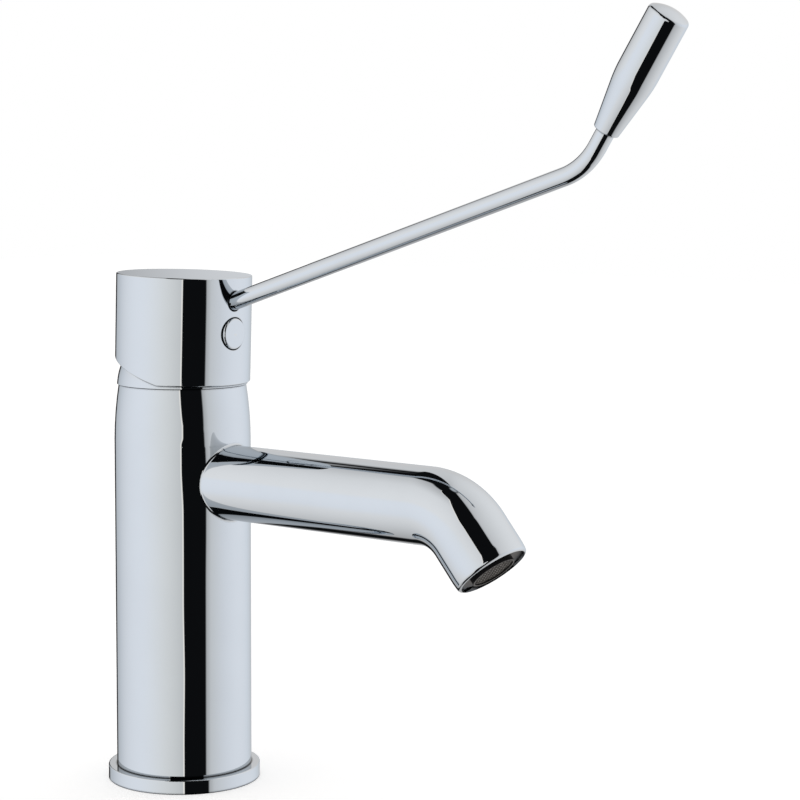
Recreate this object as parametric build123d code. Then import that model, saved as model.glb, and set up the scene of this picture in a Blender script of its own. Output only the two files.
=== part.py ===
from build123d import *
import math
import os

os.makedirs("parts", exist_ok=True)

# Basin mixer tap with a long lever. Millimetres and degrees.
# The origin is the centre of the base on the deck. +Z is up, and the spout and the lever point to -Y.

# Clearances
running_gap = 0.06
seat_gap = 0.1
thread_gap = 0.05
pin_gap = 0.03
slide_gap = 0.2
dome_gap = 0.3

# Base
base_ring_overhang = 3.0
base_ring_height = 5.0
base_ring_edge = 0.4
spigot_step = 2.0
gasket_width = 2.0
gasket_thickness = 1.7

# Body
body_diameter = 48.0
body_rim_inset = 1.6
body_rim_edge = 0.3
shoulder_height = 20.4
foot_wall = 1.5
core_step = 0.5
core_height = 84.0
boss_face_height = 24.0
inlet_boss_diameter = 14.0
inlet_spacing = 29.0
inlet_forward = 3.0
inlet_thread_diameter = 9.0
inlet_thread_depth = 14.0
stud_boss_diameter = 13.0
stud_backward = 14.5
stud_hole_diameter = 6.8
stud_hole_depth = 20.0

# Waterways
seat_height = 116.0
port_diameter = 6.6
port_circle_radius = 9.0
inlet_port_angle = 54.0
outlet_port_backward = 7.8
riser_bend_drop = 20.0
channel_diameter = 11.0
channel_drop = 11.0

# Spout
spout_drop = 8.0
spout_diameter = 26.0
spout_wall = 2.5
spout_bend_reach = 118.7
spout_bend_angle = 50.0
spout_bend_radius = 22.0
spout_tip_length = 24.4
spout_root_radius = 1.0
spout_bore_start = 25.0
tip_edge = 0.95
tip_roll_length = 4.5
tip_roll_depth = 0.2

# Aerator, measured inwards from the outlet face
outlet_lip = 1.2
aerator_recess = 1.1
aerator_length = 11.5
aerator_face_thickness = 4.6
aerator_mouth_diameter = 14.2
aerator_bezel_wall = 0.6
aerator_bezel_proud = 0.5
aerator_wall = 2.1
key_slot_count = 4
key_slot_width = 4.0
key_slot_depth = 1.5
key_slot_bite = 1.3
grille_recess = 0.5
grille_thickness = 5.6
grille_hole_across = 1.25
grille_bar = 0.35
grille_rings = 4
diffuser_thickness = 2.4
diffuser_hole_count = 18
diffuser_hole_diameter = 1.1
diffuser_hole_circle = 13.2
regulator_diameter = 13.0
regulator_thickness = 3.0
regulator_hub_diameter = 5.0
regulator_ring_thickness = 1.6
regulator_ring_diameter = 9.6
strainer_thickness = 1.2
strainer_crown = 1.6
strainer_slot_count = 12
strainer_slot_width = 0.9
strainer_slot_inner = 3.0
strainer_slot_outer = 7.6
aerator_seal_thickness = 1.5
aerator_seal_width = 2.0

# Cartridge
cartridge_diameter = 35.0
cartridge_gap = 0.25
base_flange_thickness = 1.6
base_thickness = 4.0
port_seal_wall = 1.3
peg_diameter = 3.5
peg_length = 2.5
peg_side = 11.0
peg_backward = 8.0
key_width = 3.0
key_height = 2.2
key_thickness = 1.2
disc_thickness = 3.5
disc_rim_gap = 0.3
moving_disc_diameter = 24.0
port_slot_half_span = 15.0
port_slot_width = 4.2
chamber_diameter = 20.0
chamber_edge_forward = 1.5
chamber_depth = 1.9
drive_flange_thickness = 2.5
drive_hub_height = 5.0
drive_hub_diameter = 13.2
drive_notch_width = 3.0
drive_notch_depth = 1.0
rail_offset = 11.0
rail_width = 1.6
rail_height = 1.4
rail_length = 10.0
housing_wall = 2.9
housing_shoulder_height = 18.5
housing_neck_inset = 3.1
housing_height = 22.0
housing_edge = 0.8
guide_flange_gap = 0.25
guide_tab_gap = 0.3
guide_flange_thickness = 3.0
guide_recess_height = 2.5
guide_neck_diameter = 20.0
guide_neck_top = 31.0
stop_half_span = 64.0
stop_clearance_angle = 1.0
stop_depth = 1.35
o_ring_thickness = 1.3
o_ring_height = 19.5

# Stem and its movement
pivot_rise = 24.0
lever_travel = 25.0
swivel_travel = 50.0
stem_arm = 9.5
stem_ball_diameter = 6.0
stem_neck_diameter = 5.0
stem_square = 8.0
stem_square_drop = 4.0
stem_top = 26.0
stem_edge = 0.8
stem_slot_length = 13.4
stem_pin_diameter = 3.0
stem_pin_length = 18.6

# Nut and dome cover
cup_depth = 25.4
nut_thread_step = 0.75
nut_height_below_rim = 0.5
nut_neck_step = 2.0
nut_neck_rise = 5.6
nut_slot_count = 4
nut_slot_width = 4.0
nut_slot_depth = 2.2
dome_inset = 0.8
dome_thickness = 1.4
dome_opening_diameter = 34.8
dome_collar_wall = 1.7
dome_collar_height = 5.0
dome_web_thickness = 1.8

# Handle cap, in its own upright frame
closed_tilt = 1.7
cap_inset = 0.2
cap_rim_gap = 1.4
cap_height = 37.2
cap_wall = 2.6
cap_roof = 3.0
cap_edge = 0.4
skirt_edge = 0.3
seat_edge = 0.4
skirt_cut_rise = 5.3
skirt_cut_angle = 17.3
socket_diameter = 16.0
socket_rise = 10.0
socket_roof_gap = 0.3
cap_block_width = 13.0
cap_block_drop = 25.0
button_hole_diameter = 11.2
button_hole_depth = 4.8
button_height = 20.7
button_gap = 0.15
button_proud = 0.6
button_thickness = 4.2
button_crown = 0.15
button_edge = 0.8
set_screw_diameter = 5.8
set_screw_length = 8.0
set_screw_tip = 1.2
set_screw_socket = 3.0
set_screw_socket_depth = 3.0
set_screw_boss_diameter = 9.0

# Lever rod and grip, in the cap's frame
rod_diameter = 6.0
rod_rise_at_axis = 23.4
rod_angle = 19.8
rod_bend_reach = 165.0
rod_bend_radius = 22.0
rod_inner_reach = 12.5
rod_end_gap = 0.3
grip_angle = 59.6
grip_start = 13.4
grip_length = 40.5
grip_crown = 1.9
grip_diameter = 13.4
grip_neck_diameter = 8.3
grip_taper_length = 18.2
grip_taper_blend = 40.0
grip_end_edge = 1.5
grip_neck_edge = 0.5
grip_hole_depth = 15.0

# Worked-out diameters
base_ring_diameter = body_diameter + 2 * base_ring_overhang
body_rim_diameter = body_diameter - 2 * body_rim_inset
spigot_diameter = body_diameter - 2 * spigot_step
recess_diameter = spigot_diameter - 2 * foot_wall
core_diameter = recess_diameter - 2 * core_step
gasket_inner_diameter = (base_ring_diameter + spigot_diameter) / 2 - gasket_width
aerator_diameter = spout_diameter - 2 * outlet_lip
aerator_bore_diameter = aerator_diameter - 2 * aerator_wall
cartridge_bore_diameter = cartridge_diameter + 2 * cartridge_gap
housing_bore_diameter = cartridge_diameter - 2 * housing_wall
housing_neck_diameter = cartridge_diameter - 2 * housing_neck_inset
fixed_disc_diameter = housing_bore_diameter - 2 * disc_rim_gap
stop_inner_diameter = housing_bore_diameter - 2 * stop_depth
guide_flange_diameter = stop_inner_diameter - 2 * guide_flange_gap
guide_tab_diameter = housing_bore_diameter - 2 * guide_tab_gap
nut_thread_diameter = cartridge_bore_diameter + 2 * nut_thread_step
nut_neck_diameter = nut_thread_diameter - 2 * nut_neck_step
cap_diameter = body_diameter - 2 * cap_inset
dome_diameter = cap_diameter - 2 * dome_inset

# Worked-out places
body_top = seat_height + cup_depth
pivot_height = seat_height + pivot_rise
pivot = Vector(0, 0, pivot_height)
half_travel = lever_travel / 2
disc_shift = stem_arm * math.sin(math.radians(half_travel))
base_top = seat_height + base_thickness
fixed_disc_top = base_top + disc_thickness
moving_disc_top = fixed_disc_top + disc_thickness
drive_flange_top = moving_disc_top + drive_flange_thickness
guide_flange_bottom = drive_flange_top + slide_gap
guide_flange_top = guide_flange_bottom + guide_flange_thickness
housing_ceiling = guide_flange_top + slide_gap
cap_bottom = body_top + cap_rim_gap
cap_top = cap_bottom + cap_height
spout_height = seat_height - spout_drop
channel_height = seat_height - channel_drop

rod_direction = Vector(0, -math.cos(math.radians(rod_angle)), math.sin(math.radians(rod_angle)))
grip_direction = Vector(0, -math.cos(math.radians(grip_angle)), math.sin(math.radians(grip_angle)))
rod_origin = pivot + Vector(0, 0, rod_rise_at_axis)
rod_corner = rod_origin + rod_direction * (rod_bend_reach / math.cos(math.radians(rod_angle)))
rod_inner_end = rod_origin + rod_direction * (rod_inner_reach / math.cos(math.radians(rod_angle)))

tip_direction = Vector(
    0, -math.cos(math.radians(spout_bend_angle)), -math.sin(math.radians(spout_bend_angle))
)
spout_corner = Vector(0, -spout_bend_reach, spout_height)
outlet_centre = spout_corner + tip_direction * spout_tip_length
outlet_plane = Plane(origin=outlet_centre, x_dir=(1, 0, 0), z_dir=tip_direction)


def turned(points):
    """Solid of revolution about Z from corners given as (radius, height)."""
    outline = Polyline(*[(radius, 0, height) for radius, height in points], close=True)
    return revolve(make_face(outline), Axis.Z)


def rod_between(start, end, diameter):
    """Round bar from one point to another."""
    along = end - start
    plane = Plane(origin=start, z_dir=along)
    return extrude(plane * Circle(diameter / 2), along.length)


def post(x, y, bottom, top, diameter):
    """Upright round post."""
    return rod_between(Vector(x, y, bottom), Vector(x, y, top), diameter)


def block(x_range, y_range, z_range):
    """Square-edged block between the given limits."""
    size = [high - low for low, high in (x_range, y_range, z_range)]
    middle = [(high + low) / 2 for low, high in (x_range, y_range, z_range)]
    return Pos(*middle) * Box(*size)


def around(count, piece):
    """Copies of a piece spaced evenly about Z."""
    return [Rot(Z=360 * index / count) * piece for index in range(count)]


def tilted(piece, angle):
    """Piece leaned forwards about the stem's pivot."""
    return Pos(*pivot) * Rot(X=angle) * Pos(*(-pivot)) * piece


def crowned(piece, rim_radius, rim_height, crown):
    """Piece cut to a shallow dome that rises by the crown above its rim."""
    radius = (rim_radius ** 2 + crown ** 2) / (2 * crown)
    return piece & Pos(0, 0, rim_height + crown - radius) * Sphere(radius)


def sector(inner_diameter, outer_diameter, middle_angle, half_span, bottom, top):
    """Part of a ring wall, between two angles about Z."""
    inner, outer = inner_diameter / 2, outer_diameter / 2
    section = Polyline(
        (inner, 0, bottom), (outer, 0, bottom), (outer, 0, top), (inner, 0, top), close=True
    )
    wall = revolve(make_face(section), Axis.Z, revolution_arc=2 * half_span)
    return Rot(Z=middle_angle - half_span) * wall


def port_places():
    """Centres of the hot, cold and mixed water ports on the cartridge seat."""
    side = port_circle_radius * math.sin(math.radians(inlet_port_angle))
    front = -port_circle_radius * math.cos(math.radians(inlet_port_angle))
    return [(-side, front), (side, front), (0, outlet_port_backward)]


# Body and base


def body_envelope():
    """Turned outside of the body, with its long shoulder up to the rim."""
    radius = body_diameter / 2
    rim = body_rim_diameter / 2
    spigot = spigot_diameter / 2
    shoulder_start = body_top - shoulder_height
    shoulder_middle = body_top - shoulder_height / 2
    outline = [
        Line((0, 0, 0), (spigot, 0, 0)),
        Line((spigot, 0, 0), (spigot, 0, base_ring_height)),
        Line((spigot, 0, base_ring_height), (radius, 0, base_ring_height)),
        Line((radius, 0, base_ring_height), (radius, 0, shoulder_start)),
        Bezier((radius, 0, shoulder_start), (radius, 0, shoulder_middle), (rim, 0, body_top)),
        Line((rim, 0, body_top), (0, 0, body_top)),
        Line((0, 0, body_top), (0, 0, 0)),
    ]
    return revolve(make_face(outline), Axis.Z)


def spout_bar(start_reach, diameter):
    """Round bar along the spout's bent centre line, up to the outlet face."""
    path = FilletPolyline(
        (0, -start_reach, spout_height), spout_corner, outlet_centre, radius=spout_bend_radius
    )
    return sweep(Plane(origin=path @ 0, z_dir=path % 0) * Circle(diameter / 2), path=path)


def hollow_base():
    """Open recess and core under the body, less the bosses for the hoses and the stud."""
    recess = post(0, 0, 0, boss_face_height, recess_diameter)
    recess += post(0, 0, boss_face_height, core_height, core_diameter)
    side = inlet_spacing / 2
    for x, y, diameter in (
        (-side, -inlet_forward, inlet_boss_diameter),
        (side, -inlet_forward, inlet_boss_diameter),
        (0, stud_backward, stud_boss_diameter),
    ):
        recess -= post(x, y, boss_face_height, core_height, diameter)
    return recess


def waterways():
    """Inlet risers with their hose threads, the mixed water way, and the stud hole."""
    cuts = []
    bend_height = seat_height - riser_bend_drop
    hot, cold, mixed = port_places()
    for side, port in ((-1, hot), (1, cold)):
        x = side * inlet_spacing / 2
        low = Vector(x, -inlet_forward, bend_height)
        high = Vector(*port, seat_height)
        beyond = high + (high - low).normalized() * port_diameter
        thread_top = boss_face_height + inlet_thread_depth
        cuts += [
            post(x, -inlet_forward, boss_face_height, thread_top, inlet_thread_diameter),
            post(x, -inlet_forward, thread_top, bend_height, port_diameter),
            Pos(*low) * Sphere(port_diameter / 2),
            rod_between(low, beyond, port_diameter),
        ]
    channel_back = outlet_port_backward + port_diameter / 2
    cuts += [
        post(*mixed, channel_height, seat_height, port_diameter),
        rod_between(
            Vector(0, channel_back, channel_height),
            Vector(0, -spout_bore_start - running_gap, channel_height),
            channel_diameter,
        ),
        post(0, stud_backward, boss_face_height, boss_face_height + stud_hole_depth, stud_hole_diameter),
    ]
    return cuts


def tip_rounding():
    """What the polishing takes off round the outlet: a gentle roll, then a round edge."""
    tip = spout_diameter / 2
    rolled = (tip - tip_roll_depth, 0, -tip_edge)
    roll = TangentArc((tip, 0, -tip_roll_length), rolled, tangent=(0, 0, 1))
    edge = TangentArc(rolled, (tip - tip_roll_depth - tip_edge, 0, 0), tangent=roll % 1)
    outside = Polyline(edge @ 1, (tip + tip_edge, 0, 0), (tip + tip_edge, 0, -tip_roll_length), roll @ 0)
    return revolve(make_face([roll, edge, outside]), Axis.Z)


def make_body_casting():
    """Cast body and spout in one piece."""
    envelope = body_envelope()
    bar = spout_bar(0, spout_diameter)
    casting = envelope + bar
    casting = fillet(new_edges(envelope, bar, combined=casting), spout_root_radius)
    rim = casting.edges().sort_by_distance((0, body_rim_diameter / 2, body_top))[0]
    casting = fillet(rim, body_rim_edge)
    casting -= hollow_base()
    casting -= post(0, 0, seat_height, body_top, cartridge_bore_diameter)
    thread_bottom = seat_height + housing_shoulder_height
    casting -= post(0, 0, thread_bottom, body_top, nut_thread_diameter + 2 * thread_gap)
    for cut in waterways():
        casting -= cut
    casting -= spout_bar(spout_bore_start, spout_diameter - 2 * spout_wall)
    casting -= outlet_plane.location * tip_rounding()
    counterbore_depth = aerator_recess + aerator_length + aerator_seal_thickness
    casting -= outlet_plane.location * post(
        0, 0, -counterbore_depth, 0, aerator_diameter + 2 * thread_gap
    )
    for side in (-1, 1):
        casting -= post(
            side * peg_side, peg_backward, seat_height - peg_length - seat_gap, seat_height,
            peg_diameter + 2 * seat_gap,
        )
    return casting


def make_base_ring():
    """Escutcheon ring under the body, with a groove for the gasket."""
    inner = spigot_diameter / 2 + seat_gap
    outer = base_ring_diameter / 2
    groove_inner = gasket_inner_diameter / 2 - seat_gap
    groove_outer = gasket_inner_diameter / 2 + gasket_width + seat_gap
    groove_top = gasket_thickness + seat_gap
    ring = turned([
        (inner, 0), (groove_inner, 0), (groove_inner, groove_top), (groove_outer, groove_top),
        (groove_outer, 0), (outer, 0), (outer, base_ring_height), (inner, base_ring_height),
    ])
    top_edge = ring.edges().sort_by_distance((0, outer, base_ring_height))[0]
    return fillet(top_edge, base_ring_edge)


def make_base_gasket():
    """Rubber ring in the groove, squeezed flush with the underside."""
    inner = gasket_inner_diameter / 2
    outer = inner + gasket_width
    return turned([(inner, 0), (outer, 0), (outer, gasket_thickness), (inner, gasket_thickness)])


# Cartridge


def make_cartridge_base():
    """Plate that closes the cartridge, with its ports, pegs and disc keys."""
    outer = cartridge_diameter / 2
    register = housing_bore_diameter / 2 - seat_gap
    flange_top = seat_height + base_flange_thickness
    plate = turned([
        (0, seat_height), (outer, seat_height), (outer, flange_top), (register, flange_top),
        (register, base_top), (0, base_top),
    ])
    for x, y in port_places():
        plate -= post(x, y, seat_height, base_top, port_diameter + 2 * port_seal_wall + 2 * seat_gap)
    for side in (-1, 1):
        plate += post(side * peg_side, peg_backward, seat_height - peg_length, seat_height, peg_diameter)
        key_inner = register - key_thickness
        plate += block(
            sorted((side * key_inner, side * (register - seat_gap))),
            (-key_width / 2, key_width / 2),
            (base_top, base_top + key_height),
        )
    return plate


def make_port_seals():
    """Three rubber sleeves that seal the ports above and below the base plate."""
    seals = []
    for x, y in port_places():
        sleeve = post(x, y, seat_height, base_top, port_diameter + 2 * port_seal_wall)
        seals.append(sleeve - post(x, y, seat_height, base_top, port_diameter))
    return seals


def curved_slot(middle_angle, bottom, top):
    """Curved port through a disc, with round ends."""
    inner = 2 * port_circle_radius - port_slot_width
    outer = 2 * port_circle_radius + port_slot_width
    slot = sector(inner, outer, middle_angle, port_slot_half_span, bottom, top)
    for end in (-port_slot_half_span, port_slot_half_span):
        angle = math.radians(middle_angle + end)
        slot += post(
            port_circle_radius * math.cos(angle), port_circle_radius * math.sin(angle),
            bottom, top, port_slot_width,
        )
    return slot


def make_fixed_disc():
    """Lower ceramic disc, keyed to the base plate."""
    disc = post(0, 0, base_top, fixed_disc_top, fixed_disc_diameter)
    for angle in (270 - inlet_port_angle, 270 + inlet_port_angle):
        disc -= curved_slot(angle, base_top, fixed_disc_top)
    disc -= post(0, outlet_port_backward, base_top, fixed_disc_top, port_diameter)
    key_inner = housing_bore_diameter / 2 - seat_gap - key_thickness - seat_gap
    for side in (-1, 1):
        disc -= block(
            sorted((side * key_inner, side * fixed_disc_diameter)),
            (-key_width / 2 - seat_gap, key_width / 2 + seat_gap),
            (base_top, base_top + key_height + seat_gap),
        )
    return disc


def make_moving_disc():
    """Upper ceramic disc, with the mixing chamber in its underside."""
    disc = post(0, 0, fixed_disc_top, moving_disc_top, moving_disc_diameter)
    chamber = post(0, 0, fixed_disc_top, fixed_disc_top + chamber_depth, chamber_diameter)
    chamber -= block(
        (-chamber_diameter, chamber_diameter), (-chamber_diameter, -chamber_edge_forward),
        (fixed_disc_top, fixed_disc_top + chamber_depth),
    )
    disc -= chamber
    for side in (-1, 1):
        disc -= drive_notch(side, 0)
    return Pos(0, disc_shift, 0) * disc


def drive_notch(side, gap):
    """Space at the edge of the moving disc that a lug of the drive plate fills."""
    radius = moving_disc_diameter / 2
    return block(
        sorted((side * (radius - drive_notch_depth + gap), side * 2 * radius)),
        (-drive_notch_width / 2 + gap, drive_notch_width / 2 - gap),
        (fixed_disc_top, moving_disc_top),
    )


def make_drive_plate():
    """Plate that grips the moving disc, with a pocket for the stem's ball and two rails."""
    plate = post(0, 0, moving_disc_top, drive_flange_top, moving_disc_diameter)
    plate += post(0, 0, moving_disc_top, moving_disc_top + drive_hub_height, drive_hub_diameter)
    pocket = stem_ball_diameter / 2 + 2 * running_gap
    plate -= block(
        (-pocket, pocket), (-pocket, pocket), (moving_disc_top, moving_disc_top + drive_hub_height)
    )
    lug_bottom = fixed_disc_top + disc_thickness / 2
    rim = post(0, 0, lug_bottom, moving_disc_top, moving_disc_diameter)
    for side in (-1, 1):
        plate += rim & drive_notch(side, seat_gap)
        plate += block(
            (side * rail_offset - rail_width / 2, side * rail_offset + rail_width / 2),
            (-rail_length / 2, rail_length / 2),
            (moving_disc_top + drive_flange_thickness / 2, drive_flange_top + rail_height),
        ) & post(0, 0, moving_disc_top, drive_flange_top + rail_height, moving_disc_diameter)
    return Pos(0, disc_shift, 0) * plate


def make_cartridge_housing():
    """Moulded housing with the neck that the stem guide turns in, and its stop."""
    outer = cartridge_diameter / 2
    bore = housing_bore_diameter / 2
    neck = housing_neck_diameter / 2
    guide_bore = guide_neck_diameter / 2 + running_gap
    bottom = seat_height + base_flange_thickness
    shoulder = seat_height + housing_shoulder_height
    top = seat_height + housing_height
    housing = turned([
        (bore, bottom), (outer, bottom), (outer, shoulder), (neck, shoulder),
        (neck, top - housing_edge), (neck - housing_edge, top), (guide_bore, top),
        (guide_bore, housing_ceiling), (bore, housing_ceiling),
    ])
    stop_span = 180 - stop_half_span - swivel_travel - stop_clearance_angle
    housing += sector(
        stop_inner_diameter, 2 * bore + seat_gap, 270, stop_span, guide_flange_bottom, housing_ceiling
    )
    return housing


def make_stem_guide():
    """Turret that swivels in the housing and carries the stem's pin."""
    flange = guide_flange_diameter / 2
    neck = guide_neck_diameter / 2
    recess = drive_hub_diameter / 2 + disc_shift + slide_gap
    recess_top = guide_flange_bottom + guide_recess_height
    top = seat_height + guide_neck_top
    groove_bottom = seat_height + o_ring_height
    groove_top = groove_bottom + o_ring_thickness + seat_gap
    groove = neck - o_ring_thickness
    guide = turned([
        (0, recess_top), (recess, recess_top), (recess, guide_flange_bottom),
        (flange, guide_flange_bottom), (flange, guide_flange_top), (neck, guide_flange_top),
        (neck, groove_bottom), (groove, groove_bottom), (groove, groove_top), (neck, groove_top),
        (neck, top), (0, top),
    ])
    guide += sector(
        guide_flange_diameter - running_gap, guide_tab_diameter, 90, stop_half_span,
        guide_flange_bottom, guide_flange_top,
    )
    slot_half_width = stem_square / 2 + running_gap
    guide -= block(
        (-slot_half_width, slot_half_width), (-stem_slot_length / 2, stem_slot_length / 2),
        (guide_flange_bottom, top),
    )
    rail_half_width = rail_width / 2 + running_gap
    rail_half_length = rail_length / 2 + disc_shift + slide_gap
    for side in (-1, 1):
        guide -= block(
            (side * rail_offset - rail_half_width, side * rail_offset + rail_half_width),
            (-rail_half_length, rail_half_length),
            (guide_flange_bottom, drive_flange_top + rail_height + seat_gap),
        )
    pin_end = Vector(stem_pin_length / 2 + seat_gap, 0, 0)
    guide -= rod_between(pivot - pin_end, pivot + pin_end, stem_pin_diameter + 2 * pin_gap)
    return guide


def make_guide_o_ring():
    """Rubber ring in the groove of the guide's neck."""
    centre_radius = guide_neck_diameter / 2 - o_ring_thickness / 2
    height = seat_height + o_ring_height + (o_ring_thickness + seat_gap) / 2
    return Pos(0, 0, height) * Torus(centre_radius, o_ring_thickness / 2)


def make_stem_pin():
    """Steel cross pin that the stem tilts on."""
    half = Vector(stem_pin_length / 2, 0, 0)
    return rod_between(pivot - half, pivot + half, stem_pin_diameter)


def make_stem():
    """Brass stem with a ball below the pin and a square above it, leaned as when closed."""
    half = stem_square / 2
    square = block((-half, half), (-half, half), (-stem_square_drop, stem_top))
    square = chamfer(square.faces().sort_by(Axis.Z)[-1].edges(), stem_edge)
    neck = post(0, 0, -stem_arm, -stem_square_drop, stem_neck_diameter)
    ball = Pos(0, 0, -stem_arm) * Sphere(stem_ball_diameter / 2)
    cross = Vector(stem_square, 0, 0)
    hole = rod_between(-cross, cross, stem_pin_diameter + 2 * pin_gap)
    stem = square + neck + ball - hole
    return tilted(Pos(*pivot) * stem, half_travel)


def make_cartridge_nut():
    """Brass nut that holds the cartridge down, with a neck for the dome cover."""
    inner = housing_neck_diameter / 2 + seat_gap
    thread = nut_thread_diameter / 2
    neck = nut_neck_diameter / 2
    bottom = seat_height + housing_shoulder_height
    thread_top = body_top - nut_height_below_rim
    top = body_top + nut_neck_rise
    nut = turned([
        (inner, bottom), (thread, bottom), (thread, thread_top), (neck, thread_top),
        (neck, top), (inner, top),
    ])
    slot = block(
        (0, 2 * thread), (-nut_slot_width / 2, nut_slot_width / 2), (top - nut_slot_depth, top)
    )
    for cut in around(nut_slot_count, slot):
        nut -= cut
    return nut


def make_dome_cover():
    """Polished dome over the nut, round the stem's pivot, with a collar that screws on."""
    outer = dome_diameter / 2
    inner = outer - dome_thickness
    collar = nut_neck_diameter / 2 + thread_gap
    base_rise = body_top - pivot_height
    foot = math.sqrt(outer ** 2 - base_rise ** 2)
    web_top = body_top + dome_web_thickness
    ball = Pos(*pivot) * Sphere(outer)
    hollow = Pos(*pivot) * Sphere(inner)
    above_web = post(0, 0, web_top, cap_top, 2 * dome_diameter)
    dome = ball & post(0, 0, body_top, cap_top, 3 * foot)
    dome -= hollow & above_web
    dome += turned([
        (collar, body_top), (collar + dome_collar_wall, body_top),
        (collar + dome_collar_wall, body_top + dome_collar_height), (collar, body_top + dome_collar_height),
    ])
    dome -= post(0, 0, body_top, web_top + dome_collar_height, 2 * collar)
    dome -= post(0, 0, pivot_height, cap_top, dome_opening_diameter)
    return dome


# Handle


def button_place():
    """Centre of the button hole's mouth and the way out of it."""
    return Vector(0, -cap_diameter / 2, pivot_height + button_height), Vector(0, -1, 0)


def stem_face_reach():
    """Distance from the cap's axis to the stem's front face, level with the set screw."""
    lean = math.radians(half_travel - closed_tilt)
    return button_height * math.tan(lean) + stem_square / 2 / math.cos(lean)


def cap_socket():
    """Boss inside the cap that the stem's square fits, in line with the stem."""
    lean = half_travel - closed_tilt
    roof = cap_top - pivot_height - cap_roof / 2
    boss = tilted(Pos(*pivot) * post(0, 0, socket_rise, roof, socket_diameter), lean)
    half = stem_square / 2 + running_gap
    hole = block((-half, half), (-half, half), (socket_rise - seat_gap, stem_top + socket_roof_gap))
    return boss, tilted(Pos(*pivot) * hole, lean)


def make_handle_cap():
    """Hollow cap with its slanted rear skirt, the stem socket and the lever's seat."""
    outer = cap_diameter / 2
    shell = post(0, 0, cap_bottom, cap_top, cap_diameter)
    shell = fillet(shell.edges().sort_by(Axis.Z)[-1], cap_edge)
    shell -= post(0, 0, cap_bottom, cap_top - cap_roof, cap_diameter - 2 * cap_wall)
    block_bottom = cap_top - cap_block_drop
    shell += block(
        (-cap_block_width / 2, cap_block_width / 2), (-outer + cap_wall / 2, 0),
        (block_bottom, cap_top - cap_roof / 2),
    )
    shell -= Pos(*pivot) * Sphere(dome_diameter / 2 + dome_gap)
    boss, socket = cap_socket()
    mouth, way_out = button_place()
    cap = shell + (boss & post(0, 0, cap_bottom, cap_top - cap_roof / 2, cap_diameter - cap_wall))
    cap += rod_between(Vector(0, 0, mouth.Z), mouth - way_out * cap_wall, set_screw_boss_diameter)
    cut_angle = math.radians(skirt_cut_angle)
    cut_normal = Vector(0, math.sin(cut_angle), -math.cos(cut_angle))
    cut_plane = Plane(origin=pivot + Vector(0, 0, skirt_cut_rise), x_dir=(1, 0, 0), z_dir=cut_normal)
    skirt_cut = extrude(cut_plane * Rectangle(3 * cap_diameter, 3 * cap_diameter), cap_height)
    skirt_cut -= Pos(*pivot) * Sphere(dome_diameter / 2 - dome_thickness)
    cap -= skirt_cut
    cap -= socket
    hole_start = mouth + way_out * cap_wall
    cap -= rod_between(hole_start, mouth - way_out * button_hole_depth, button_hole_diameter)
    screw_end = Vector(0, -stem_face_reach() + stem_square / 2, mouth.Z)
    cap -= rod_between(mouth, screw_end, set_screw_diameter + 2 * thread_gap)
    rod_mouth = rod_inner_end + rod_direction * cap_diameter
    cap -= rod_between(rod_inner_end - rod_direction * rod_end_gap, rod_mouth, rod_diameter + 2 * thread_gap)
    side = cap.faces().filter_by(GeomType.CYLINDER).sort_by(SortBy.AREA)[-1]
    below_top = side.edges().filter_by_position(Axis.Z, cap_bottom - cap_edge, cap_top - 2 * cap_edge)
    skirt = below_top.filter_by(GeomType.CIRCLE) + below_top.filter_by(GeomType.ELLIPSE)
    cap = fillet(skirt, skirt_edge)
    side = cap.faces().filter_by(GeomType.CYLINDER).sort_by(SortBy.AREA)[-1]
    cap = fillet(side.edges().filter_by(GeomType.BSPLINE), seat_edge)
    return tilted(cap, closed_tilt)


def make_handle_set_screw():
    """Grub screw that clamps the cap on the stem, with a hexagon socket."""
    mouth, way_out = button_place()
    tip = Vector(0, -stem_face_reach(), mouth.Z)
    radius = set_screw_diameter / 2
    point_radius = radius - set_screw_tip
    lean = math.radians(half_travel - closed_tilt)
    tip_gap = point_radius * math.tan(lean) + running_gap
    screw = turned([
        (0, tip_gap), (point_radius, tip_gap), (radius, tip_gap + set_screw_tip),
        (radius, set_screw_length), (0, set_screw_length),
    ])
    socket_radius = set_screw_socket / math.sqrt(3)
    socket = extrude(RegularPolygon(socket_radius, 6), set_screw_socket_depth)
    screw -= Pos(0, 0, set_screw_length - set_screw_socket_depth) * socket
    plane = Plane(origin=tip, x_dir=(1, 0, 0), z_dir=way_out)
    return tilted(plane.location * screw, closed_tilt)


def make_index_button():
    """Plain round plug in front of the set screw, with a slightly crowned face."""
    mouth, way_out = button_place()
    radius = button_hole_diameter / 2 - button_gap
    rim = button_proud - button_crown
    button = post(0, 0, rim - button_thickness, rim + button_crown, 2 * radius)
    button = crowned(button, radius, rim, button_crown)
    front_edge = button.edges().sort_by_distance((0, radius, rim))[0]
    button = fillet(front_edge, button_edge)
    plane = Plane(origin=mouth, x_dir=(1, 0, 0), z_dir=way_out)
    return tilted(plane.location * button, closed_tilt)


def make_lever_rod():
    """Round rod from the cap to the grip, bent once."""
    end = rod_corner + grip_direction * (grip_start + grip_hole_depth - rod_end_gap)
    path = FilletPolyline(rod_inner_end, rod_corner, end, radius=rod_bend_radius)
    rod = sweep(Plane(origin=path @ 0, z_dir=path % 0) * Circle(rod_diameter / 2), path=path)
    return tilted(rod, closed_tilt)


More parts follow.
